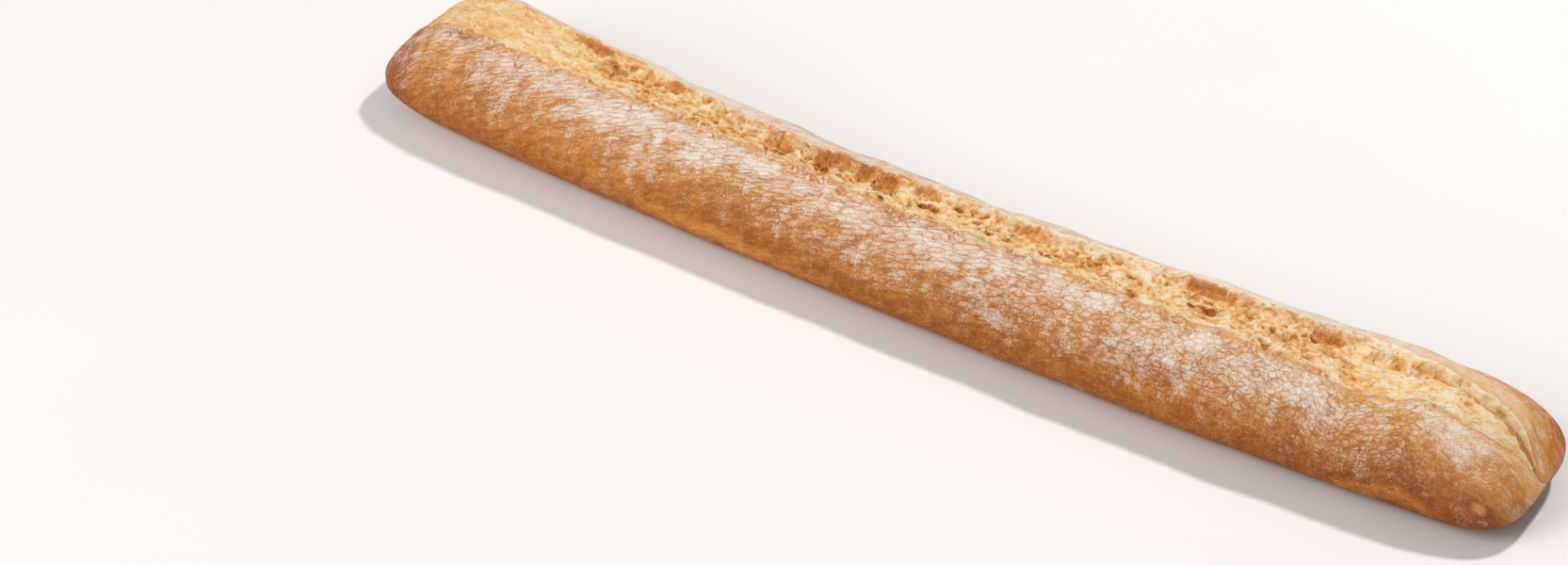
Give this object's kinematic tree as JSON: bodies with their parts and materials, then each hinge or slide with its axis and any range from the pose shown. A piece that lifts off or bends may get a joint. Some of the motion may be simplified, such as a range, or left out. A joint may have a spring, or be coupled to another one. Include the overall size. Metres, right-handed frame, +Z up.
{
  "type": "baguette",
  "caption": "Long white bread loaf with blunt rounded ends, a flat base and one full-length slash torn open over a craggy pale crumb.",
  "frame": {"origin": "centre of the bounding box at the height of the flat base the loaf rests on", "axes": "+X along the loaf towards the end where the slash closes, +Y towards the slash's far lip, +Z up"},
  "size_m": [0.561, 0.083, 0.0461],
  "materials": {
    "crust": "matt baked bread crust, floured",
    "crumb": "soft pale bread crumb, open where the slash tore"
  },
  "bodies": {
    "root": {"baguette": "crust"}
  },
  "joints": []
}
